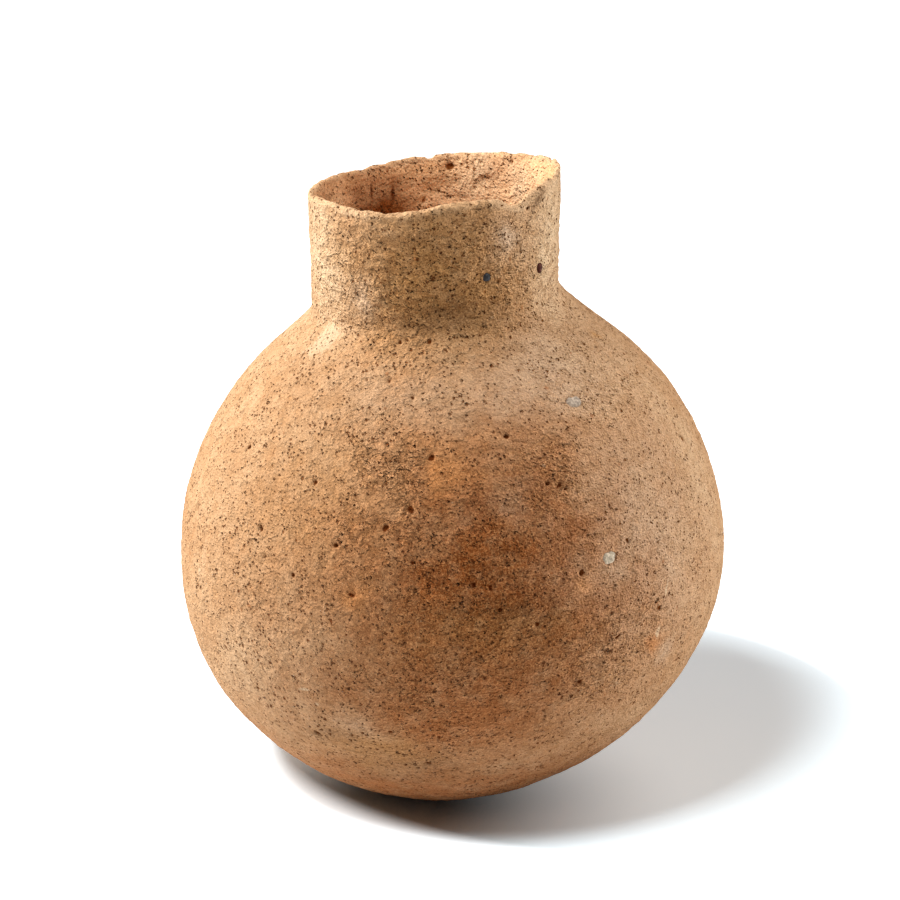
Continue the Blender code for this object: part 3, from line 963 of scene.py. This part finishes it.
def stone_material(pebble):
    """Matt stone, mottled and a little grainy."""
    shader = Shader(pebble.node + "_stone")
    mottle = shader.noise(900.0, 4.0, 0.6)
    pale = tuple(min(1.0, 1.25 * part) for part in pebble.tint)
    dark = tuple(0.55 * part for part in pebble.tint)
    colour = shader.mix(shader.span(mottle, 0.3, 0.7), dark, pale)
    shader.set(shader.surface.inputs["Base Color"], colour)
    shader.set(shader.surface.inputs["Roughness"], 0.85)
    shader.set(shader.surface.inputs["Specular IOR Level"], 0.2)
    shader.set(shader.surface.inputs["Normal"], shader.bump(mottle, 0.0004))
    return shader.material


class Shader:
    """Short ways to add and join the nodes of one material."""

    def __init__(self, name):
        self.material = bpy.data.materials.new(name)
        self.material.use_nodes = True
        self.tree = self.material.node_tree
        self.surface = self.tree.nodes["Principled BSDF"]
        self.place = self.tree.nodes.new("ShaderNodeTexCoord").outputs["Object"]

    def set(self, socket, value):
        """Joins a socket to another, or gives it a plain value."""
        if isinstance(value, bpy.types.NodeSocket):
            self.tree.links.new(value, socket)
        else:
            socket.default_value = value

    def mark(self, name):
        """One of the numbers stored on the mesh's points."""
        node = self.tree.nodes.new("ShaderNodeAttribute")
        node.attribute_name = name
        return node.outputs["Fac"]

    def noise(self, scale, detail=3.0, roughness=0.55, stretch=1.0):
        """Noise over the object's coordinates: features a metre, and how many times more upwards."""
        squeeze = self.tree.nodes.new("ShaderNodeVectorMath")
        squeeze.operation = "MULTIPLY"
        self.set(squeeze.inputs[0], self.place)
        self.set(squeeze.inputs[1], (1.0, 1.0, stretch))
        node = self.tree.nodes.new("ShaderNodeTexNoise")
        self.set(node.inputs["Vector"], squeeze.outputs["Vector"])
        self.set(node.inputs["Scale"], scale)
        self.set(node.inputs["Detail"], detail)
        self.set(node.inputs["Roughness"], roughness)
        return node.outputs["Fac"]

    def distance(self, middle):
        """Distance from a place, in the object's coordinates."""
        node = self.tree.nodes.new("ShaderNodeVectorMath")
        node.operation = "DISTANCE"
        self.set(node.inputs[0], self.place)
        self.set(node.inputs[1], middle)
        return node.outputs["Value"]

    def pores(self, scale, size, ragged):
        """One inside small ragged holes, larger and closer together in some places than in others.

        A hole is where the distance to the middle of a Voronoi cell is less than the size.
        """
        node = self.tree.nodes.new("ShaderNodeTexVoronoi")
        self.set(node.inputs["Vector"], self.place)
        self.set(node.inputs["Scale"], scale)
        edge = self.sum("ADD", node.outputs["Distance"], self.span(ragged, 0.3, 0.7, -0.09, 0.09))
        edge = self.sum("ADD", edge, self.span(self.noise(scale / 4.0), 0.35, 0.65, -0.06, 0.11))
        return self.span(edge, size + 0.05, size - 0.05)

    def span(self, value, low, high, to_low=0.0, to_high=1.0):
        """A value carried from one range to another, eased and held at its ends."""
        node = self.tree.nodes.new("ShaderNodeMapRange")
        node.interpolation_type = "SMOOTHSTEP"
        self.set(node.inputs["Value"], value)
        ends = {"From Min": low, "From Max": high, "To Min": to_low, "To Max": to_high}
        for socket, number in ends.items():
            self.set(node.inputs[socket], number)
        return node.outputs["Result"]

    def sum(self, operation, first, second):
        """One step of arithmetic."""
        node = self.tree.nodes.new("ShaderNodeMath")
        node.operation = operation
        self.set(node.inputs[0], first)
        self.set(node.inputs[1], second)
        return node.outputs[0]

    def mix(self, share, first, second, blend="MIX"):
        """Two colours mixed by a share."""
        node = self.tree.nodes.new("ShaderNodeMix")
        node.data_type = "RGBA"
        node.blend_type = blend
        self.set(node.inputs["Factor"], share)
        self.set(node.inputs["A"], colour_value(first))
        self.set(node.inputs["B"], colour_value(second))
        return node.outputs["Result"]

    def bump(self, height, distance, normal=None, strength=1.0):
        """Surface normal tilted by a height."""
        node = self.tree.nodes.new("ShaderNodeBump")
        self.set(node.inputs["Height"], height)
        self.set(node.inputs["Distance"], distance)
        self.set(node.inputs["Strength"], strength)
        self.set(node.inputs["Filter Width"], 1.0)
        if normal is not None:
            self.set(node.inputs["Normal"], normal)
        return node.outputs["Normal"]


def colour_value(colour):
    """A socket as it is, or a colour with full alpha."""
    if isinstance(colour, bpy.types.NodeSocket):
        return colour
    return (*colour, 1.0)


def fired_tones(shader, clay):
    """Sandy clouds with small stains, the inner side's colour painted paler as light, and the places that
    the kiln and wear have coloured, among them painted light and shade on the inner side and a painted
    highlight along the lip.
    """
    sandy = shader.span(shader.noise(60.0, 5.0, 0.6), 0.36, 0.66, 0.2, 0.75)
    colour = shader.mix(sandy, clay.tan, clay.sand)
    # The inner side's colour, painted paler as light inside the neck
    colour = shader.mix(shader.mark("inside"), colour, clay.core)
    for scale, tone in ((170.0, clay.orange), (300.0, clay.olive), (420.0, clay.sand)):
        stain = shader.span(shader.noise(scale, 4.0, 0.65), 0.50, 0.70, 0.0, 0.16)
        colour = shader.mix(stain, colour, tone)
    # Inside, the pale mark also carries painted light and the rust mark painted shade, and near the lip the
    # pale mark is partly a painted highlight
    for name, tone, scale in (
        ("pale", clay.cream, 90.0),
        ("rust", clay.rust, 110.0),
        ("orange", clay.orange, 130.0),
        ("olive", clay.olive, 150.0),
        ("ash", clay.ash, 190.0),
    ):
        broken = shader.span(shader.noise(scale, 6.0, 0.7), 0.32, 0.60, 0.7, 1.1)
        colour = shader.mix(shader.sum("MULTIPLY", shader.mark(name), broken), colour, tone)
    return colour


def sandy_grains(shader, clay, colour, worn, coarse, small):
    """Painted shade in the low places and a painted highlight on the tops of the sand, most where the skin
    is worn, and single grains.
    """
    # Painted shade and painted highlight follow the grains' noises, most of which also tilt the normal
    for grains in (*coarse, *small):
        low = shader.sum("MULTIPLY", worn, shader.span(grains, 0.30, 0.46, 0.34, 0.0))
        colour = shader.mix(low, colour, clay.shade, "MULTIPLY")
    for grains in small:
        high = shader.sum("MULTIPLY", worn, shader.span(grains, 0.54, 0.70))
        colour = shader.mix(high, colour, clay.painted_highlight, "ADD")
    grain = shader.mark("grain")
    tone = shader.mark("tone")
    pale_grain = shader.sum("MULTIPLY", grain, shader.span(tone, 0.80, 0.86))
    dark_grain = shader.sum("MULTIPLY", grain, shader.span(tone, 0.20, 0.14))
    colour = shader.mix(shader.span(pale_grain, 0.1, 0.6, 0.0, 0.25), colour, clay.cream)
    return shader.mix(shader.span(dark_grain, 0.1, 0.6, 0.0, 0.45), colour, clay.rust)


def slip_dirt_and_shade(shader, clay, colour, fine, pores):
    """Smears of pale slip, dark grime with painted shade, and darkness in pores and pits, partly their
    darker clay and partly painted shade, less of it in redder places.
    """
    slip = shader.sum("ADD", shader.mark("cream"), shader.span(fine, 0.3, 0.7, -0.12, 0.12))
    colour = shader.mix(shader.span(slip, 0.20, 0.60, 0.0, 0.65), colour, clay.cream)
    # Dark grime, with painted shade in the hollow under the neck, low on the front and in the inner corner
    dirt_and_shade = shader.sum("MULTIPLY", shader.mark("soot"), shader.span(fine, 0.30, 0.62, 0.3, 1.0))
    colour = shader.mix(dirt_and_shade, colour, clay.soot)
    # Darkening of pores and pits, partly their darker clay and partly painted shade, less in redder places
    pore_tone_and_shade_share = shader.span(shader.mark("rust"), 0.2, 0.9, 0.90, 0.60)
    dark = shader.sum("MULTIPLY", pores, pore_tone_and_shade_share)
    dark = shader.sum("MAXIMUM", dark, shader.span(shader.mark("pit"), 0.20, 0.60, 0.0, 0.95))
    return shader.mix(dark, colour, clay.pore_tone_and_shade, "MULTIPLY")


def clay_material(clay):
    """Fired coarse clay: mixed tones, sandy grains with painted shade and highlights, slip, grime and
    painted shade over a grainy, porous surface.
    """
    shader = Shader("fired_clay")
    flake = shader.span(shader.noise(FLAKES, 3.0, 0.6, stretch=1.5), 0.44, 0.54)
    fine = shader.noise(FINE_GRAINS, 1.0, 0.6, stretch=1.6)
    sand = shader.noise(SAND_GRAINS, 0.0)
    grit = shader.noise(GRIT_GRAINS, 0.0)
    worn = shader.span(shader.mark("rough"), 0.0, 1.0, 0.45, 1.0)
    wide_pores, small_pores = (shader.pores(scale, size, grit) for scale, size in PORES)
    pores = shader.sum("MAXIMUM", wide_pores, small_pores)
    colour = fired_tones(shader, clay)
    colour = sandy_grains(shader, clay, colour, worn, (flake, fine), (sand, grit))
    colour = slip_dirt_and_shade(shader, clay, colour, fine, pores)
    rough = shader.bump(sand, 0.0007, strength=worn)
    rough = shader.bump(fine, 0.0011, rough, worn)
    rough = shader.bump(flake, 0.0007, rough, worn)
    rough = shader.bump(pores, -clay.pore_depth, rough)
    shader.set(shader.surface.inputs["Base Color"], colour)
    shader.set(shader.surface.inputs["Roughness"], clay.roughness)
    shader.set(shader.surface.inputs["Specular IOR Level"], 0.05)
    shader.set(shader.surface.inputs["Normal"], rough)
    return shader.material


def the_clay():
    """The clay material, made once."""
    found = bpy.data.materials.get("fired_clay")
    return found or clay_material(bpy.context.scene.jar_clay)


class OBJECT_OT_jar_base_bowl(Operator):
    """Builds the pinched bowl that the jar stands on"""

    bl_idname = "object.jar_base_bowl"
    bl_label = "Base Bowl"

    def execute(self, context):
        build_bowl(Wall(context.scene.jar_shape), context.scene.jar_clay, the_clay())
        return {"FINISHED"}


class OBJECT_OT_jar_wall_coils(Operator):
    """Builds the flattened coils of the body, from the bowl to the neck"""

    bl_idname = "object.jar_wall_coils"
    bl_label = "Wall Coils"

    def execute(self, context):
        wall = Wall(context.scene.jar_shape)
        for piece, bottom, top in zip(WALL_COILS, wall.joints[:-2], wall.joints[1:-1]):
            build_coil(wall, context.scene.jar_clay, piece, bottom, top, COIL_ROWS, the_clay())
        return {"FINISHED"}


class OBJECT_OT_jar_neck_collar(Operator):
    """Builds the collar of the neck"""

    bl_idname = "object.jar_neck_collar"
    bl_label = "Neck Collar"

    def execute(self, context):
        wall = Wall(context.scene.jar_shape)
        bottom, top = wall.joints[-2:]
        build_coil(wall, context.scene.jar_clay, COLLAR, bottom, top, NECK_ROWS, the_clay())
        return {"FINISHED"}


class OBJECT_OT_jar_rim_coil(Operator):
    """Builds the rim, with its worn and chipped lip"""

    bl_idname = "object.jar_rim_coil"
    bl_label = "Rim Coil"

    def execute(self, context):
        build_rim(Wall(context.scene.jar_shape), context.scene.jar_clay, the_clay())
        return {"FINISHED"}


class OBJECT_OT_jar_pebbles(Operator):
    """Builds the grains of temper that show in the wall"""

    bl_idname = "object.jar_pebbles"
    bl_label = "Pebbles"

    def execute(self, context):
        wall = Wall(context.scene.jar_shape)
        for pebble in PEBBLES:
            build_stone(wall, pebble)
        return {"FINISHED"}


def floor_material():
    """White floor that shows the jar's shadow; to the camera it glows more the further it is from the
    darkest place in front of the base, which paints the fading of the shadow, and it is white further off.
    """
    shader = Shader("white_floor")
    rays = shader.tree.nodes.new("ShaderNodeLightPath")
    seen = shader.sum("MAXIMUM", rays.outputs["Is Camera Ray"], rays.outputs["Is Glossy Ray"])
    seen = shader.sum("MAXIMUM", seen, rays.outputs["Is Transmission Ray"])
    shader.set(shader.surface.inputs["Base Color"], shader.mix(seen, BOUNCE_GREY, FLOOR_WHITE))
    shader.set(shader.surface.inputs["Roughness"], 1.0)
    shader.set(shader.surface.inputs["Specular IOR Level"], 0.0)
    # Painted light: to the camera the floor glows more the further it is from the darkest place, which
    # lifts the shadow
    painted_fill = shader.span(shader.distance(DARKEST_PLACE), *PAINTED_FILL_REACH, 0.0, 0.5)
    beyond = shader.span(shader.distance(SHADOW_MIDDLE), *SHADOW_REACH)
    white_and_painted_glow = shader.sum("MAXIMUM", painted_fill, beyond)
    shader.set(shader.surface.inputs["Emission Color"], (1.0, 1.0, 1.0, 1.0))
    shader.set(shader.surface.inputs["Emission Strength"], shader.sum("MULTIPLY", seen, white_and_painted_glow))
    return shader.material


def add_floor():
    """Wide square floor under the jar."""
    corners = [(-FLOOR_HALF, -FLOOR_HALF, 0.0), (FLOOR_HALF, -FLOOR_HALF, 0.0)]
    corners += [(FLOOR_HALF, FLOOR_HALF, 0.0), (-FLOOR_HALF, FLOOR_HALF, 0.0)]
    mesh = bpy.data.meshes.new("floor")
    mesh.from_pydata(corners, [], [(0, 1, 2, 3)])
    mesh.materials.append(floor_material())
    floor = bpy.data.objects.new("floor", mesh)
    bpy.context.scene.collection.objects.link(floor)
    return floor


def add_lamp(stage, kind):
    """Soft lamp that faces the jar, with the power that the stage gives it."""
    name = kind.name + "_lamp"
    light = bpy.data.lights.new(name, "AREA")
    light.shape = "RECTANGLE"
    light.energy = getattr(stage, kind.name + "_power")
    light.size, light.size_y = kind.size
    lamp = bpy.data.objects.new(name, light)
    lamp.location = kind.place
    lamp.rotation_euler = (LOOK_AT - lamp.location).to_track_quat("-Z", "Y").to_euler()
    bpy.context.scene.collection.objects.link(lamp)
    return lamp


def link_floor(lamp, floor, state):
    """Keeps a lamp's light off the floor, or on it alone, so that one lamp casts the jar's shadow."""
    linked = bpy.data.collections.new("floor_of_" + lamp.name)
    linked.objects.link(floor)
    linked.collection_objects[0].light_linking.link_state = state
    lamp.light_linking.receiver_collection = linked


def add_even_light(strength):
    """Even white light from all round."""
    world = bpy.data.worlds.new("studio")
    world.use_nodes = True
    backdrop = world.node_tree.nodes["Background"]
    backdrop.inputs["Color"].default_value = (1.0, 1.0, 1.0, 1.0)
    backdrop.inputs["Strength"].default_value = strength
    bpy.context.scene.world = world


def add_camera(stage):
    """Camera in front of the jar, looking a little down on it."""
    camera = bpy.data.objects.new("camera", bpy.data.cameras.new("camera"))
    camera.data.lens = stage.lens
    back = Vector((0.0, -math.cos(stage.camera_rise), math.sin(stage.camera_rise)))
    camera.location = LOOK_AT + back * stage.camera_distance
    camera.rotation_euler = (-back).to_track_quat("-Z", "Y").to_euler()
    bpy.context.scene.collection.objects.link(camera)
    bpy.context.scene.camera = camera


class SCENE_OT_jar_stage(Operator):
    """Adds the floor, the lamps, the even light and the camera"""

    bl_idname = "scene.jar_stage"
    bl_label = "Stage"

    def execute(self, context):
        stage = context.scene.jar_stage
        floor = add_floor()
        for kind in JAR_LAMPS:
            link_floor(add_lamp(stage, kind), floor, "EXCLUDE")
        link_floor(add_lamp(stage, SHADOW_LAMP), floor, "INCLUDE")
        add_even_light(stage.ambient)
        add_camera(stage)
        context.scene.view_settings.view_transform = "Standard"
        return {"FINISHED"}


class VIEW3D_PT_jar(Panel):
    """Lists the jar's sizes, finishes and steps"""

    bl_idname = "VIEW3D_PT_jar"
    bl_label = "Terracotta Jar"
    bl_space_type = "VIEW_3D"
    bl_region_type = "UI"
    bl_category = "Jar"

    def draw(self, context):
        for step in STEPS:
            self.layout.operator(step.bl_idname)
        for group in (context.scene.jar_shape, context.scene.jar_clay, context.scene.jar_stage):
            box = self.layout.box()
            for name in group.__annotations__:
                box.prop(group, name)


STEPS = (
    SCENE_OT_jar_stage,
    OBJECT_OT_jar_base_bowl,
    OBJECT_OT_jar_wall_coils,
    OBJECT_OT_jar_neck_collar,
    OBJECT_OT_jar_rim_coil,
    OBJECT_OT_jar_pebbles,
)
GROUPS = {"jar_shape": JarShape, "jar_clay": JarClay, "jar_stage": JarStage}


def register():
    for group in (*GROUPS.values(), *STEPS, VIEW3D_PT_jar):
        bpy.utils.register_class(group)
    for name, group in GROUPS.items():
        setattr(bpy.types.Scene, name, PointerProperty(type=group))


def unregister():
    for name in GROUPS:
        delattr(bpy.types.Scene, name)
    for group in (VIEW3D_PT_jar, *reversed(STEPS), *GROUPS.values()):
        bpy.utils.unregister_class(group)


def main():
    register()
    bpy.ops.scene.jar_stage()
    bpy.ops.object.jar_base_bowl()
    bpy.ops.object.jar_wall_coils()
    bpy.ops.object.jar_neck_collar()
    bpy.ops.object.jar_rim_coil()
    bpy.ops.object.jar_pebbles()


if __name__ == "__main__":
    main()
